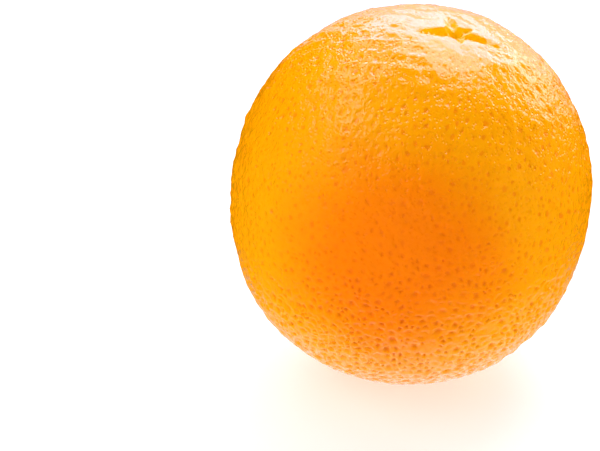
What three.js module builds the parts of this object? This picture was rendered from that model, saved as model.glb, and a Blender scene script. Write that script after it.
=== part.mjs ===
// A whole orange as picked, resting on a small flat spot with its dimpled end leaning to one side.
// The fruit grew as one piece, so it is one solid: a round body slightly taller than it is wide, a star-shaped
// dimple at the top end, a small round scar at the bottom end, and a skin of shallow pits, larger than life.
// Millimetres, +Z up. The origin is the middle of the underside of the fruit's box, on the flat spot.
import * as THREE from "three";
import { mergeVertices } from "three/addons/utils/BufferGeometryUtils.js";

// Body, about the fruit's own axis from end to end
const EQUATOR_RADIUS = 39;
const HALF_HEIGHT = 40.9;
const SQUARENESS = 2.12; // exponent of the outline: 2 is an ellipse, and more has fuller shoulders
const CROWN_SWELL = 0.039; // share by which the top end rises above that outline
const CROWN_SPREAD = 0.45; // radians from the top end
const LEAN = THREE.MathUtils.degToRad(12.8); // the axis leans this far from upright, towards +X

// Broad low swells that keep the body from being perfectly round, and where about the axis they start
const SWELL = 0.33;
const TWO_SIDED_TURN = THREE.MathUtils.degToRad(219);
const THREE_SIDED_TURN = THREE.MathUtils.degToRad(310);

// Dimple at the top end: a round eye and creases that run out from it like a star, in a shallow basin
const BASIN = { radius: 8.5, depth: 0.9 };
const EYE_RADIUS = 2.8;
const WALL_SLOPE = 0.9; // rise over run of the eye's and the creases' walls
const BLUNTNESS = 3; // 1 draws a crease in evenly towards its tip, and more keeps it wide for longer
const CREASES = [
  { turn: -6, length: 11, halfWidth: 1.5 },
  { turn: 38, length: 4.4, halfWidth: 1.4 },
  { turn: 107, length: 7, halfWidth: 1.4 },
  { turn: 195, length: 8.6, halfWidth: 1.7 },
  { turn: 285, length: 4.2, halfWidth: 1.4 },
]; // turn in degrees about the axis from +X

// Scar at the bottom end
const SCAR = { radius: 2.6, depth: 0.5 };

// Skin pits
const LATTICE_SPLITS = 13; // spaces between pits along each edge of the icosahedron
const PIT_DEPTH = 0.26;
const PIT_DEPTH_SPREAD = 0.45; // share by which the depth of a pit may differ from PIT_DEPTH
const PIT_WANDER = 0.2; // share of the pit spacing by which a pit may leave its place in the lattice
const SMOOTH_RADIUS = 6; // the pits fade out this close to either end
const SMOOTHING = 0.9; // share of its depth that a pit at either end loses
const SEED = 1207;

// Finer spacing of the pits near the top end, where the creases need it
const GATHER = 0.6;
const GATHER_SPREAD = 0.6; // radians

const FLAT_SPOT_RADIUS = 7;
const FLAT_SPOT_FADE = 0.5; // height over which the pits come back above the flat spot

const LEAN_AXIS = new THREE.Vector3(0, 1, 0);

// Seeded random numbers from 0 to 1, the same on every run.
function randomSource(seed) {
  let state = seed;
  return () => {
    state = (state + 0x6d2b79f5) | 0;
    let mixed = Math.imul(state ^ (state >>> 15), 1 | state);
    mixed = (mixed + Math.imul(mixed ^ (mixed >>> 7), 61 | mixed)) ^ mixed;
    return ((mixed ^ (mixed >>> 14)) >>> 0) / 2 ** 32;
  };
}

const bell = (distance, radius) => Math.exp(-((distance / radius) ** 2));

// Distance of the smooth body from its middle, at an angle from the top end.
function bodyRadius(angle) {
  const across = (Math.sin(angle) / EQUATOR_RADIUS) ** SQUARENESS;
  const along = (Math.abs(Math.cos(angle)) / HALF_HEIGHT) ** SQUARENESS;
  const outline = (across + along) ** (-1 / SQUARENESS);
  return outline * (1 + CROWN_SWELL * bell(angle, CROWN_SPREAD));
}

function swell(angle, turn) {
  const twoSided = Math.sin(2 * turn + TWO_SIDED_TURN) * Math.sin(angle) ** 2;
  const threeSided = Math.sin(3 * turn + THREE_SIDED_TURN) * Math.sin(angle) * Math.sin(2 * angle);
  return SWELL * (twoSided + threeSided);
}

// How far inside the outline of one crease a point lies, from its place about the star's middle. Outside it is < 0.
function insideCrease(crease, distance, turn) {
  const off = turn - THREE.MathUtils.degToRad(crease.turn);
  const along = distance * Math.cos(off);
  if (along < 0) return -distance;
  const halfWidth = crease.halfWidth * (1 - (along / crease.length) ** BLUNTNESS);
  return halfWidth - distance * Math.abs(Math.sin(off));
}

function dimpleDepth(distance, turn) {
  const insideCreases = CREASES.map((crease) => insideCrease(crease, distance, turn));
  const inside = Math.max(0, EYE_RADIUS - distance, ...insideCreases);
  return WALL_SLOPE * inside + BASIN.depth * bell(distance, BASIN.radius);
}

// Height of the skin above the middle of the fruit in one direction, with no pits.
function skinRadius(direction) {
  const angle = Math.acos(THREE.MathUtils.clamp(direction.z, -1, 1));
  const turn = Math.atan2(direction.y, direction.x);
  const fromTop = angle * EQUATOR_RADIUS;
  const fromBottom = (Math.PI - angle) * EQUATOR_RADIUS;
  const scar = SCAR.depth * bell(fromBottom, SCAR.radius);
  return bodyRadius(angle) + swell(angle, turn) - dimpleDepth(fromTop, turn) - scar;
}

// Share of its full depth that a pit has, from its place between the ends.
function pitShare(direction) {
  const angle = Math.acos(THREE.MathUtils.clamp(direction.z, -1, 1));
  const fromEnd = Math.min(angle, Math.PI - angle) * EQUATOR_RADIUS;
  return 1 - SMOOTHING * bell(fromEnd, SMOOTH_RADIUS);
}

// Draws a direction in towards the top end.
function gather(direction) {
  const angle = Math.acos(THREE.MathUtils.clamp(direction.z, -1, 1));
  const turn = Math.atan2(direction.y, direction.x);
  const drawn = angle * (1 - GATHER * bell(angle, GATHER_SPREAD));
  const across = Math.sin(drawn);
  return new THREE.Vector3(across * Math.cos(turn), across * Math.sin(turn), Math.cos(drawn));
}

// Directions of the pits, and the triangles of neighbouring pits: an icosahedron split evenly, then stirred.
function pitLattice(random) {
  const ball = new THREE.IcosahedronGeometry(1, LATTICE_SPLITS - 1);
  ball.deleteAttribute("normal");
  ball.deleteAttribute("uv");
  const merged = mergeVertices(ball, 1e-4);
  const { position } = merged.attributes;
  const spacing = Math.sqrt((4 * Math.PI) / position.count);
  const pits = [];
  for (let i = 0; i < position.count; i++) {
    const wander = new THREE.Vector3(random() - 0.5, random() - 0.5, random() - 0.5);
    const place = new THREE.Vector3().fromBufferAttribute(position, i);
    pits.push(place.addScaledVector(wander, 2 * PIT_WANDER * spacing).normalize());
  }
  return { pits, triangles: merged.index.array };
}

// The skin's corners and faces: every pit is ringed by rim corners, one in the middle of each pit triangle.
function pittedSkin() {
  const random = randomSource(SEED);
  const { pits, triangles } = pitLattice(random);
  const corners = pits.map((pit) => ({
    direction: pit,
    depth: PIT_DEPTH * (1 + PIT_DEPTH_SPREAD * (2 * random() - 1)),
  }));
  const rimOfEdge = new Map();
  for (let i = 0; i < triangles.length; i += 3) {
    const [a, b, c] = triangles.slice(i, i + 3);
    const rim = new THREE.Vector3().add(pits[a]).add(pits[b]).add(pits[c]).normalize();
    for (const edge of [`${a} ${b}`, `${b} ${c}`, `${c} ${a}`]) rimOfEdge.set(edge, corners.length);
    corners.push({ direction: rim, depth: 0 });
  }
  const faces = [];
  for (const [edge, rim] of rimOfEdge) {
    const [from, to] = edge.split(" ").map(Number);
    faces.push(from, rimOfEdge.get(`${to} ${from}`), rim);
  }
  return { corners, faces };
}

// Lays the fruit over and stands it on its flat spot, with the middle of its box over the origin.
function settle(corners) {
  for (const corner of corners) {
    const direction = gather(corner.direction);
    corner.share = pitShare(direction);
    corner.outwards = direction.clone().applyAxisAngle(LEAN_AXIS, LEAN);
    corner.place = corner.outwards.clone().multiplyScalar(skinRadius(direction));
  }
  const lowest = Math.min(...corners.map((corner) => corner.place.z));
  const floor = lowest + FLAT_SPOT_RADIUS ** 2 / (2 * EQUATOR_RADIUS);
  for (const corner of corners) {
    const height = Math.max(corner.place.z - floor, 0);
    const depth = corner.depth * corner.share * Math.min(height / FLAT_SPOT_FADE, 1);
    corner.place.addScaledVector(corner.outwards, -depth);
    corner.place.z = Math.max(corner.place.z, floor);
  }
  const box = new THREE.Box3().setFromPoints(corners.map((corner) => corner.place));
  const middle = box.getCenter(new THREE.Vector3()).setZ(floor);
  return corners.map((corner) => corner.place.sub(middle));
}

function makeOrange() {
  const { corners, faces } = pittedSkin();
  const geometry = new THREE.BufferGeometry().setFromPoints(settle(corners));
  geometry.setIndex(faces);
  geometry.computeVertexNormals();
  const peel = new THREE.MeshStandardMaterial({ color: 0xff9408, roughness: 0.42, metalness: 0 });
  const orange = new THREE.Mesh(geometry, peel);
  orange.name = "orange";
  return orange;
}

const fruit = new THREE.Group();
fruit.add(makeOrange());

export default fruit;
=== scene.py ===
import math

import bpy
import numpy as np
from mathutils import Matrix, Vector


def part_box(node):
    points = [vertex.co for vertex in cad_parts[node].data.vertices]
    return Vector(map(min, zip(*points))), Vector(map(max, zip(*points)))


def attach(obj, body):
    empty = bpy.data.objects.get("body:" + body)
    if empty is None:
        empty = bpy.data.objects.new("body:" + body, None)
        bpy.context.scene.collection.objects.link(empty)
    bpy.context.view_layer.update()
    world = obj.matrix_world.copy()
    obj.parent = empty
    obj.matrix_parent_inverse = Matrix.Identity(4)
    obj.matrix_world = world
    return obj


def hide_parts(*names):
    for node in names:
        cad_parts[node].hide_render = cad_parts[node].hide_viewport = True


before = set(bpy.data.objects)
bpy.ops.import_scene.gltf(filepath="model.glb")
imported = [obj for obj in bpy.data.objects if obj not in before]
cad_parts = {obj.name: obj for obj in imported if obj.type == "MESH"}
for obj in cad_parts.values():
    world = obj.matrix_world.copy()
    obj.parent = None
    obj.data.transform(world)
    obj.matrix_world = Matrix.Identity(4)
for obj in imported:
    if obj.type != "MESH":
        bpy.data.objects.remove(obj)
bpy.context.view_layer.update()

MM = 0.001

# Form of the fruit about its own axis, the same as in the solid that the skin stands for
EQUATOR_RADIUS = 39 * MM
HALF_HEIGHT = 40.9 * MM
SQUARENESS = 2.12  # exponent of the outline: 2 is an ellipse, and more has fuller shoulders
CROWN_SWELL = 0.039  # share by which the top end rises above that outline
CROWN_SPREAD = 0.45  # radians from the top end
LEAN = math.radians(12.8)  # the axis leans this far from upright, towards +X
SWELL = 0.33 * MM  # broad low swells that keep the body from being perfectly round
TWO_SIDED_TURN = math.radians(219)
THREE_SIDED_TURN = math.radians(310)

# Star-shaped dimple at the top end, in a shallow basin, and round scar at the bottom end
BASIN_RADIUS = 8.5 * MM
BASIN_DEPTH = 0.9 * MM
EYE_RADIUS = 2.8 * MM
WALL_SLOPE = 0.9  # rise over run of the star's walls
BLUNTNESS = 3  # 1 draws a crease in evenly towards its tip, and more keeps it wide for longer
CREASES = (  # turn in degrees, then length and half width in millimetres
    (-6, 11, 1.5),
    (38, 4.4, 1.4),
    (107, 7, 1.4),
    (195, 8.6, 1.7),
    (285, 4.2, 1.4),
)
SCAR_RADIUS = 2.6 * MM
SCAR_DEPTH = 0.5 * MM

FLAT_SPOT_RADIUS = 7 * MM
FLAT_SPOT_FADE = 0.5 * MM  # height over which the relief comes back above the flat spot

# Pores of the peel, each a cell of the mesh with two smaller outlines and a middle in it
PORE_SPACING = 2.0 * MM
PORE_WANDER = 0.6  # share of the spacing by which a pore may leave its place
EVENING_OUT = 0.35  # share of the way that a pore then moves to the middle of its neighbours
PORE_DEPTH = 0.2 * MM
SMALLEST_PORE = 0.35  # share of the full depth
PORE_RINGS = ((0.56, 0.25), (0.3, 0.85))  # each outline's share of the cell's reach, and of the depth
GATHER = 0.5  # share by which the pores lie closer together at the top end
GATHER_SPREAD = 0.6  # radians
SEED = 1207

# Where the relief is strong and where it is calm
RIPPLES = ((3.2 * MM, 0.14 * MM), (12 * MM, 0.13 * MM))  # width and height of the low waves
WAVES = 14  # waves of each width that are laid over each other
CROWN_CALM = 0.8  # share of its depth that a pore loses at the top end
CROWN_CALM_RADIUS = 13 * MM
STAR_EDGE = 0.4 * MM  # pores and fine relief fade out this far inside the star's outline
GRAIN_HEIGHTS = (30 * MM, 58 * MM)  # the fine relief is faint below the first and full above the second
FAINT_GRAIN = 0.35  # share of the fine relief that is left below the first of them
LOW_DEPTH = 2.9  # the pores are this many times deeper there

# Fine relief between the pores, which is bump in the material
LUMP_SPACING = 1.1 * MM
GLAND_SPACING = 0.85 * MM
GLAND_SHARE = 0.6  # height of a gland's rim against that of the lumps
PORE_SHARE = 0.15  # depth of a pore against that of the lumps, on top of its depth in the mesh
GRAIN_DEPTH = 0.19 * MM

# Painted shade: a deeper orange on the front of the fruit, standing in for that side being less lit; full
# inside one radius and gone outside the other
PAINTED_SHADE_AT = (-3 * MM, -36 * MM, 46 * MM)
PAINTED_SHADE_RADIUS = 17 * MM
PAINTED_SHADE_EDGE = 40 * MM
PAINTED_SHADE_WANDER = 14 * MM  # how far its border wanders
PAINTED_SHADE_DRIFT = 24 * MM  # how far apart the turns of that border are

# Photograph: its frame in pixels, where the fruit's middle is in it, and its scale there
PHOTO_SIZE = (600, 451)
FRUIT_AT = (409.8, 193.4)
PIXELS_PER_MM = 4.62
CAMERA_ELEVATION = math.radians(31.7)
CAMERA_DISTANCE = 0.9
SENSOR_WIDTH = 36  # millimetres

# Glow of the table that the fruit stands on: full inside one radius, gone outside the other
TABLE_SIZE = 6
GLOW = 0.35
GLOW_RADIUS = 0.08
GLOW_EDGE = 0.26

# Round lamp glass under the fruit, the only part of the table that mirrors in the peel
LAMP_RADIUS = 0.072
LAMP_GLOW = 1.35
LAMP_RISE = 0.2 * MM  # above the table

# Lamps: name, place, width and height, watts, colour, and whether they mirror in the peel
WHITE = (1, 1, 1)
SOFTBOXES = (
    ("back_softbox", (0.1, 1.0, 0.6), (1.0, 0.6), 6.6, (1, 0.66, 1), True),
    ("back_fill", (0.1, 1.0, 0.6), (1.0, 0.6), 3.0, WHITE, False),
    ("low_back_softbox", (0.05, 0.37, 0.15), (0.42, 0.5), 0.6, (1, 0.7, 1), True),
    ("right_softbox", (0.8, 0.9, 0.35), (0.6, 0.6), 2.7, WHITE, True),
    ("top_softbox", (0.2, 0.5, 0.9), (0.7, 0.5), 3.0, WHITE, True),
    ("left_softbox", (-0.55, 0.4, 0.9), (0.4, 0.4), 1.1, WHITE, True),
    ("side_softbox", (-0.65, -0.1, 0.85), (0.3, 0.3), 0.6, WHITE, True),
    ("left_fill", (-0.8, -0.3, 0.65), (0.6, 0.6), 2.5, WHITE, False),
    ("low_fill", (-1.0, -0.3, 0.1), (0.5, 0.2), 1.5, WHITE, False),
    ("front_fill", (-0.2, -1.0, 0.25), (0.8, 0.3), 1.8, WHITE, False),
    ("right_fill", (1.0, -0.1, 0.2), (0.8, 0.4), 3.8, WHITE, False),
)
ROOM_GLOW = 0.4


def bell(distance, radius):
    """1 at no distance, and next to nothing past about two radii."""
    return np.exp(-((distance / radius) ** 2))


def linear(hex_colour):
    """The linear colour of an sRGB hex value."""
    parts = [int(hex_colour[i:i + 2], 16) / 255 for i in (1, 3, 5)]
    return tuple(p / 12.92 if p <= 0.04045 else ((p + 0.055) / 1.055) ** 2.4 for p in parts) + (1.0,)


def deselect_all():
    bpy.ops.object.select_all(action="DESELECT")


def only(obj):
    """Makes one object the only selected one and the active one."""
    deselect_all()
    obj.select_set(True)
    bpy.context.view_layer.objects.active = obj


def edit(obj):
    """Starts edit mode on one object with all of it selected."""
    only(obj)
    bpy.ops.object.mode_set(mode="EDIT")
    bpy.ops.mesh.select_all(action="SELECT")


def numbers(items, name, width=1):
    """One property of many mesh elements, as an array with a row for each."""
    found = np.empty(width * len(items), dtype=np.int32 if name == "vertices" else np.float32)
    items.foreach_get(name, found)
    return found.reshape(-1, width).squeeze()


def add_node(tree, kind, settings=None, inputs=None):
    """Adds a node, sets it up, and fills its inputs with numbers, colours or other nodes' outputs."""
    node = tree.nodes.new(kind)
    for name, value in (settings or {}).items():
        setattr(node, name, value)
    for name, value in (inputs or {}).items():
        if isinstance(value, bpy.types.NodeSocket):
            tree.links.new(value, node.inputs[name])
        else:
            node.inputs[name].default_value = value
    return node


# Form


def body_radius(angle):
    """Distance of the smooth body from its middle, at an angle from the top end."""
    across = (np.sin(angle) / EQUATOR_RADIUS) ** SQUARENESS
    along = (np.abs(np.cos(angle)) / HALF_HEIGHT) ** SQUARENESS
    outline = (across + along) ** (-1 / SQUARENESS)
    return outline * (1 + CROWN_SWELL * bell(angle, CROWN_SPREAD))


def swell(angle, turn):
    """Height of the broad low swells."""
    two_sided = np.sin(2 * turn + TWO_SIDED_TURN) * np.sin(angle) ** 2
    three_sided = np.sin(3 * turn + THREE_SIDED_TURN) * np.sin(angle) * np.sin(2 * angle)
    return SWELL * (two_sided + three_sided)


def inside_crease(crease, distance, turn):
    """How far inside the outline of one crease a point lies, and below 0 outside it."""
    heading, length, half_width = crease
    off = turn - math.radians(heading)
    along = np.maximum(distance * np.cos(off), 0)
    half_width = half_width * MM * (1 - (along / (length * MM)) ** BLUNTNESS)
    return np.where(np.cos(off) < 0, -distance, half_width - distance * np.abs(np.sin(off)))


def inside_star(distance, turn):
    """How far inside the outline of the star a point lies, and 0 outside it."""
    insides = [EYE_RADIUS - distance]
    for crease in CREASES:
        insides.append(inside_crease(crease, distance, turn))
    return np.maximum(np.max(insides, axis=0), 0)


def dimple_depth(distance, turn):
    """Depth of the star, whose walls all slope alike from its outline, and of the basin that holds it."""
    return WALL_SLOPE * inside_star(distance, turn) + BASIN_DEPTH * bell(distance, BASIN_RADIUS)


def skin_radius(angle, turn):
    """Distance of the skin from the middle of the body, with no pores."""
    scar = SCAR_DEPTH * bell((math.pi - angle) * EQUATOR_RADIUS, SCAR_RADIUS)
    return body_radius(angle) + swell(angle, turn) - dimple_depth(angle * EQUATOR_RADIUS, turn) - scar


# Peel mesh


def scatter_pores():
    """A ball whose corners are the pores: an icosahedron split, stirred, evened out and skinned anew."""
    pores_wanted = 4 * math.pi * EQUATOR_RADIUS * HALF_HEIGHT / (PORE_SPACING ** 2 * math.sqrt(3) / 2)
    splits = round(math.sqrt((pores_wanted - 2) / 10))
    spacing = PORE_SPACING / EQUATOR_RADIUS
    deselect_all()
    bpy.ops.mesh.primitive_ico_sphere_add(subdivisions=1, radius=1)
    ball = bpy.context.object
    edit(ball)
    bpy.ops.mesh.subdivide(number_cuts=splits - 1)
    bpy.ops.transform.tosphere(value=1)
    bpy.ops.transform.vertex_random(offset=PORE_WANDER * spacing, uniform=1, normal=0, seed=SEED)
    bpy.ops.transform.tosphere(value=1)
    bpy.ops.mesh.convex_hull()
    bpy.ops.mesh.select_all(action="SELECT")
    bpy.ops.mesh.vertices_smooth(factor=EVENING_OUT, repeat=1)
    bpy.ops.transform.tosphere(value=1)
    bpy.ops.mesh.convex_hull()
    bpy.ops.object.mode_set(mode="OBJECT")
    return ball


def turn_to_cells(ball):
    """Swaps corners and faces, so that each pore is a cell, and sets smaller outlines into each cell."""
    group = bpy.data.node_groups.new("cells", "GeometryNodeTree")
    group.interface.new_socket("Mesh", in_out="INPUT", socket_type="NodeSocketGeometry")
    group.interface.new_socket("Cells", in_out="OUTPUT", socket_type="NodeSocketGeometry")
    start = add_node(group, "NodeGroupInput")
    swapped = add_node(group, "GeometryNodeDualMesh", inputs={"Mesh": start.outputs["Mesh"]})
    shape = swapped.outputs["Dual Mesh"]
    inner, reach = True, 1
    for ring_reach, ring_depth in PORE_RINGS:
        ring = add_node(group, "GeometryNodeExtrudeMesh", {"mode": "FACES"},
                        {"Mesh": shape, "Selection": inner, "Offset Scale": 0, "Individual": True})
        inner = ring.outputs["Top"]
        scaled = add_node(group, "GeometryNodeScaleElements", {"domain": "FACE"},
                          {"Geometry": ring.outputs["Mesh"], "Selection": inner, "Scale": ring_reach / reach})
        marked = add_node(group, "GeometryNodeStoreNamedAttribute", {"data_type": "FLOAT", "domain": "POINT"},
                          {"Geometry": scaled.outputs["Geometry"], "Selection": inner, "Name": "hollow",
                           "Value": ring_depth})
        shape, reach = marked.outputs["Geometry"], ring_reach
    add_node(group, "NodeGroupOutput", inputs={"Cells": shape})
    only(ball)
    cells = ball.modifiers.new("cells", "NODES")
    cells.node_group = group
    bpy.ops.object.modifier_apply(modifier=cells.name)
    bpy.data.node_groups.remove(group)


def hollow_cells(ball):
    """Closes each cell with a middle, and leaves each point's share of the pore depth in hollow.

    Each middle draws how deep its pore is, and passes that out to the outlines round it. A rim has 0.
    """
    mesh = ball.data
    outlines = len(mesh.vertices)
    hollow = numbers(mesh.attributes["hollow"].data, "value")
    innermost = np.isclose(hollow, PORE_RINGS[-1][1])
    edit(ball)
    bpy.ops.mesh.select_all(action="DESELECT")
    bpy.ops.object.mode_set(mode="OBJECT")
    for face in mesh.polygons:
        face.select = all(innermost[corner] for corner in face.vertices)
    bpy.ops.object.mode_set(mode="EDIT")
    bpy.ops.mesh.poke()
    bpy.ops.object.mode_set(mode="OBJECT")
    share = np.zeros(len(mesh.vertices))
    share[outlines:] = np.random.RandomState(SEED).uniform(SMALLEST_PORE, 1, len(share) - outlines)
    hollow = np.concatenate([hollow, np.ones(len(share) - outlines)])
    ends = numbers(mesh.edges, "vertices", 2)
    for outer, inner in ((PORE_RINGS[1][1], 1), (PORE_RINGS[0][1], PORE_RINGS[1][1])):
        for here, there in (ends.T, ends.T[::-1]):
            joins = np.isclose(hollow[here], inner) & np.isclose(hollow[there], outer)
            share[there[joins]] = share[here[joins]]
    mesh.attributes["hollow"].data.foreach_set("value", hollow * share)


def ripple(direction):
    """Low waves of the peel, as a sum of plane waves whose directions and phases are drawn at random."""
    draw = np.random.RandomState(SEED + 1)
    height = np.zeros(len(direction))
    for width, amount in RIPPLES:
        heading = draw.normal(size=(WAVES, 3))
        heading /= np.linalg.norm(heading, axis=1)[:, None]
        phase = draw.uniform(0, 2 * math.pi, WAVES)
        steps = direction @ heading.T * (2 * math.pi * EQUATOR_RADIUS / width) + phase
        height += amount * np.sin(steps).sum(axis=1) / math.sqrt(WAVES)
    return height


def shape_peel(ball):
    """Moves the ball's points to the fruit's form, presses in the pores, and stands it on its flat spot.

    Near the top end the pores are calm, the ripples are calmed less and the fine relief more.
    Gives the middle of the body, which the form is measured from.
    """
    mesh = ball.data
    direction = numbers(mesh.vertices, "co", 3).astype(float)
    direction /= np.linalg.norm(direction, axis=1)[:, None]
    hollow = numbers(mesh.attributes["hollow"].data, "value")
    angle = np.arccos(np.clip(direction[:, 2], -1, 1))
    angle *= 1 - GATHER * bell(angle, GATHER_SPREAD)
    turn = np.arctan2(direction[:, 1], direction[:, 0])
    direction = np.stack([np.sin(angle) * np.cos(turn), np.sin(angle) * np.sin(turn), np.cos(angle)], axis=1)
    outwards = direction @ np.array(Matrix.Rotation(LEAN, 3, "Y")).T
    place = outwards * skin_radius(angle, turn)[:, None]
    floor = place[:, 2].min() + FLAT_SPOT_RADIUS ** 2 / (2 * EQUATOR_RADIUS)
    above = np.clip((place[:, 2] - floor) / FLAT_SPOT_FADE, 0, 1)
    rise = np.clip((place[:, 2] - floor - GRAIN_HEIGHTS[0]) / (GRAIN_HEIGHTS[1] - GRAIN_HEIGHTS[0]), 0, 1)
    outside = 1 - np.minimum(inside_star(angle * EQUATOR_RADIUS, turn) / STAR_EDGE, 1)
    calm = 1 - CROWN_CALM * bell(angle * EQUATOR_RADIUS, CROWN_CALM_RADIUS)
    depth_share = hollow * calm * outside
    deepening = LOW_DEPTH + (1 - LOW_DEPTH) * rise
    depth = PORE_DEPTH * depth_share * deepening - ripple(direction) * np.sqrt(calm)
    place -= outwards * (depth * above)[:, None]
    place[:, 2] = np.maximum(place[:, 2], floor)
    low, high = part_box("orange")
    middle = (place.min(axis=0) + place.max(axis=0)) / 2
    heart = Vector(((low.x + high.x) / 2 - middle[0], (low.y + high.y) / 2 - middle[1], low.z - floor))
    place += np.array(heart)
    mesh.vertices.foreach_set("co", place.ravel())
    mesh.attributes["hollow"].data.foreach_set("value", depth_share * above)
    grain = (FAINT_GRAIN + (1 - FAINT_GRAIN) * rise) * calm ** 2 * outside
    mesh.attributes.new("grain", "FLOAT", "POINT").data.foreach_set("value", grain)
    mesh.attributes.new("star", "FLOAT", "POINT").data.foreach_set("value", 1 - outside)
    mesh.update()
    return heart


def make_peel():
    """The whole peel, smooth shaded and facing outwards, and the middle of the body."""
    ball = scatter_pores()
    turn_to_cells(ball)
    hollow_cells(ball)
    heart = shape_peel(ball)
    ball.name = "orange_peel"
    edit(ball)
    bpy.ops.mesh.normals_make_consistent(inside=False)
    bpy.ops.mesh.faces_shade_smooth()
    bpy.ops.object.mode_set(mode="OBJECT")
    return ball, heart


# Materials


def new_material(name):
    material = bpy.data.materials.new(name)
    material.use_nodes = True
    tree = material.node_tree
    shader = next(node for node in tree.nodes if node.type == "BSDF_PRINCIPLED")
    return material, tree, shader


def per_metre(spacing):
    """Texture scale whose features are this far apart."""
    return 1 / spacing


def citrus_peel():
    # Ripe orange peel under its own wax: a glossy, slightly translucent yellow orange skin, with painted
    # shade that makes its front side a deeper orange. The pore bottoms show darker, partly the large oil
    # glands' own colour and partly painted shade in the hollows, and a little duller; fine glands pit the
    # skin between. The star is painted a lighter golden orange, a painted light for the glare that spills
    # into it. The wax tints the gloss to peach.
    material, tree, shader = new_material("citrus_peel_waxy")
    place = add_node(tree, "ShaderNodeTexCoord").outputs["Object"]
    hollow = add_node(tree, "ShaderNodeAttribute", {"attribute_name": "hollow"}).outputs["Fac"]
    grain = add_node(tree, "ShaderNodeAttribute", {"attribute_name": "grain"}).outputs["Fac"]
    star = add_node(tree, "ShaderNodeAttribute", {"attribute_name": "star"}).outputs["Fac"]
    # Painted shade: the front of the fruit is mixed to a deeper orange, standing in for that side being less
    # lit.
    drift = add_node(tree, "ShaderNodeTexNoise",
                     inputs={"Vector": place, "Scale": per_metre(PAINTED_SHADE_DRIFT), "Detail": 2})
    away = add_node(tree, "ShaderNodeVectorMath", {"operation": "DISTANCE"}, {0: place, 1: PAINTED_SHADE_AT})
    reach = add_node(tree, "ShaderNodeMath", {"operation": "MULTIPLY_ADD"},
                     {0: drift.outputs["Fac"], 1: PAINTED_SHADE_WANDER, 2: away.outputs["Value"]})
    fade = add_node(tree, "ShaderNodeMapRange", {"interpolation_type": "SMOOTHSTEP"},
                    {"Value": reach.outputs["Value"], "From Min": PAINTED_SHADE_RADIUS, "From Max": PAINTED_SHADE_EDGE})
    skin = add_node(tree, "ShaderNodeMix", {"data_type": "RGBA"},
                    {"Factor": fade.outputs["Result"], "A": linear("#ff8900"), "B": linear("#ffaa00")})
    # Painted light: the star is mixed to a lighter golden orange, standing in for the glare that spills into
    # it.
    star_painted_light = add_node(tree, "ShaderNodeMix", {"data_type": "RGBA"},
                      {"Factor": star, "A": skin.outputs["Result"], "B": linear("#ffbc00")})
    # The pore bottoms are mixed darker: partly the oil glands' own colour, partly painted shade in the
    # hollows.
    pore = add_node(tree, "ShaderNodeMapRange", {"interpolation_type": "SMOOTHSTEP"},
                    {"Value": hollow, "From Min": 0.35, "From Max": 0.9, "To Max": 0.4})
    dark = add_node(tree, "ShaderNodeMix", {"data_type": "RGBA"},
                    {"Factor": pore.outputs["Result"], "A": star_painted_light.outputs["Result"], "B": linear("#f07400")})
    tree.links.new(dark.outputs["Result"], shader.inputs["Base Color"])
    dull = add_node(tree, "ShaderNodeMapRange", inputs={"Value": hollow, "To Min": 0.13, "To Max": 0.18})
    tree.links.new(dull.outputs["Result"], shader.inputs["Roughness"])
    lumps = add_node(tree, "ShaderNodeTexNoise",
                     inputs={"Vector": place, "Scale": per_metre(LUMP_SPACING), "Detail": 2})
    glands = add_node(tree, "ShaderNodeTexVoronoi",
                      inputs={"Vector": place, "Scale": per_metre(GLAND_SPACING)})
    pits = add_node(tree, "ShaderNodeMapRange", {"interpolation_type": "SMOOTHSTEP"},
                    {"Value": glands.outputs["Distance"], "From Min": 0.05, "From Max": 0.5})
    rough = add_node(tree, "ShaderNodeMath", {"operation": "MULTIPLY_ADD"},
                     {0: pits.outputs["Result"], 1: GLAND_SHARE, 2: lumps.outputs["Fac"]})
    grained = add_node(tree, "ShaderNodeMath", {"operation": "MULTIPLY"},
                       {0: rough.outputs["Value"], 1: grain})
    height = add_node(tree, "ShaderNodeMath", {"operation": "MULTIPLY_ADD"},
                      {0: hollow, 1: -PORE_SHARE, 2: grained.outputs["Value"]})
    bump = add_node(tree, "ShaderNodeBump",
                    inputs={"Height": height.outputs["Value"], "Strength": 1, "Distance": GRAIN_DEPTH})
    tree.links.new(bump.outputs["Normal"], shader.inputs["Normal"])
    shader.inputs["IOR"].default_value = 1.5
    shader.inputs["Specular IOR Level"].default_value = 0.9
    shader.inputs["Specular Tint"].default_value = linear("#ffc8ff")
    shader.inputs["Subsurface Weight"].default_value = 0.2
    shader.inputs["Subsurface Radius"].default_value = (1.0, 0.35, 0.08)
    shader.inputs["Subsurface Scale"].default_value = 1.0 * MM
    return material


def light_table():
    # Opal acrylic lit from underneath: a plain pale surface that glows softly round the fruit and lights it
    # from below.
    material, tree, shader = new_material("opal_acrylic_glowing")
    place = add_node(tree, "ShaderNodeTexCoord").outputs["Object"]
    away = add_node(tree, "ShaderNodeVectorMath", {"operation": "LENGTH"}, {"Vector": place})
    glow = add_node(tree, "ShaderNodeMapRange", {"interpolation_type": "SMOOTHSTEP"},
                    {"Value": away.outputs["Value"], "From Min": GLOW_RADIUS, "From Max": GLOW_EDGE,
                     "To Min": GLOW, "To Max": 0})
    tree.links.new(glow.outputs["Result"], shader.inputs["Emission Strength"])
    shader.inputs["Emission Color"].default_value = (1, 1, 1, 1)
    shader.inputs["Base Color"].default_value = linear("#d4d3d1")
    shader.inputs["Roughness"].default_value = 0.8
    return material


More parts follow.
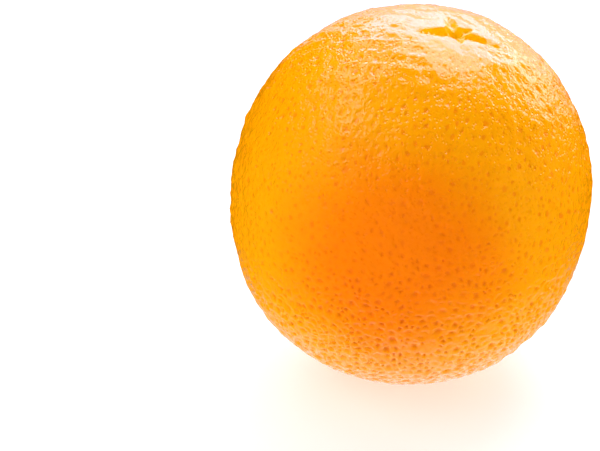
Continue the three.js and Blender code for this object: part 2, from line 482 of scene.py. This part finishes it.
def lamp_opal():
    # Opal glass of the lamp under the fruit: brightest in its middle, and dark at its rim.
    material, tree, shader = new_material("opal_lamp_glass")
    place = add_node(tree, "ShaderNodeTexCoord").outputs["Object"]
    away = add_node(tree, "ShaderNodeVectorMath", {"operation": "LENGTH"}, {"Vector": place})
    glow = add_node(tree, "ShaderNodeMapRange", {"interpolation_type": "SMOOTHSTEP"},
                    {"Value": away.outputs["Value"], "From Min": 0, "From Max": LAMP_RADIUS,
                     "To Min": LAMP_GLOW, "To Max": 0})
    tree.links.new(glow.outputs["Result"], shader.inputs["Emission Strength"])
    shader.inputs["Emission Color"].default_value = (1, 1, 1, 1)
    shader.inputs["Base Color"].default_value = (0, 0, 0, 1)
    return material


# Studio


def make_floor():
    """A pale table, and the round lamp glass on it, which shows only as its image in the peel."""
    deselect_all()
    bpy.ops.mesh.primitive_plane_add(size=TABLE_SIZE, location=(0, 0, -LAMP_RISE))
    table = bpy.context.object
    table.name = "studio_floor"
    table.visible_glossy = False
    table.data.materials.append(light_table())
    deselect_all()
    bpy.ops.mesh.primitive_circle_add(vertices=96, radius=LAMP_RADIUS, fill_type="NGON")
    lamp_glass = bpy.context.object
    lamp_glass.name = "studio_lamp_glass"
    lamp_glass.visible_camera = False
    lamp_glass.visible_diffuse = False
    lamp_glass.visible_shadow = False
    lamp_glass.data.materials.append(lamp_opal())


def aim(obj, target):
    obj.rotation_euler = (Vector(target) - obj.location).to_track_quat("-Z", "Y").to_euler()


def add_softbox(name, location, target, size, power, colour, mirrored):
    data = bpy.data.lights.new(name, "AREA")
    data.shape = "RECTANGLE"
    data.size, data.size_y = size
    data.energy = power
    data.color = colour
    lamp = bpy.data.objects.new(name, data)
    lamp.visible_glossy = mirrored
    lamp.visible_camera = False
    bpy.context.collection.objects.link(lamp)
    lamp.location = location
    aim(lamp, target)


def make_lights(middle):
    """The lamps, all aimed at the fruit, and a pale room that doesn't mirror in the peel."""
    for name, location, size, power, colour, mirrored in SOFTBOXES:
        add_softbox(name, location, middle, size, power, colour, mirrored)
    world = bpy.data.worlds.new("pale_room")
    world.use_nodes = True
    background = world.node_tree.nodes["Background"]
    background.inputs["Color"].default_value = (1, 1, 1, 1)
    background.inputs["Strength"].default_value = ROOM_GLOW
    world.cycles_visibility.glossy = False
    bpy.context.scene.world = world


def make_camera(middle):
    """A camera at the photograph's angle and scale, with the fruit where it is in the photograph."""
    data = bpy.data.cameras.new("photo_view")
    camera = bpy.data.objects.new("photo_view", data)
    bpy.context.collection.objects.link(camera)
    bpy.context.scene.camera = camera
    data.sensor_width = SENSOR_WIDTH
    data.lens = PIXELS_PER_MM / MM * CAMERA_DISTANCE * SENSOR_WIDTH / PHOTO_SIZE[0]
    away = Vector((0, -math.cos(CAMERA_ELEVATION), math.sin(CAMERA_ELEVATION)))
    up = Vector((0, math.sin(CAMERA_ELEVATION), math.cos(CAMERA_ELEVATION)))
    right = Vector((1, 0, 0))
    across = (FRUIT_AT[0] - PHOTO_SIZE[0] / 2) / PIXELS_PER_MM * MM
    upwards = (PHOTO_SIZE[1] / 2 - FRUIT_AT[1]) / PIXELS_PER_MM * MM
    camera.location = middle + away * CAMERA_DISTANCE
    aim(camera, middle - right * across - up * upwards)


peel, heart = make_peel()
peel.data.materials.append(citrus_peel())
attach(peel, "root")
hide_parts("orange")

make_floor()
make_lights(heart)
make_camera(heart)
bpy.context.scene.view_settings.view_transform = "Standard"
bpy.context.scene.view_settings.look = "Medium High Contrast"
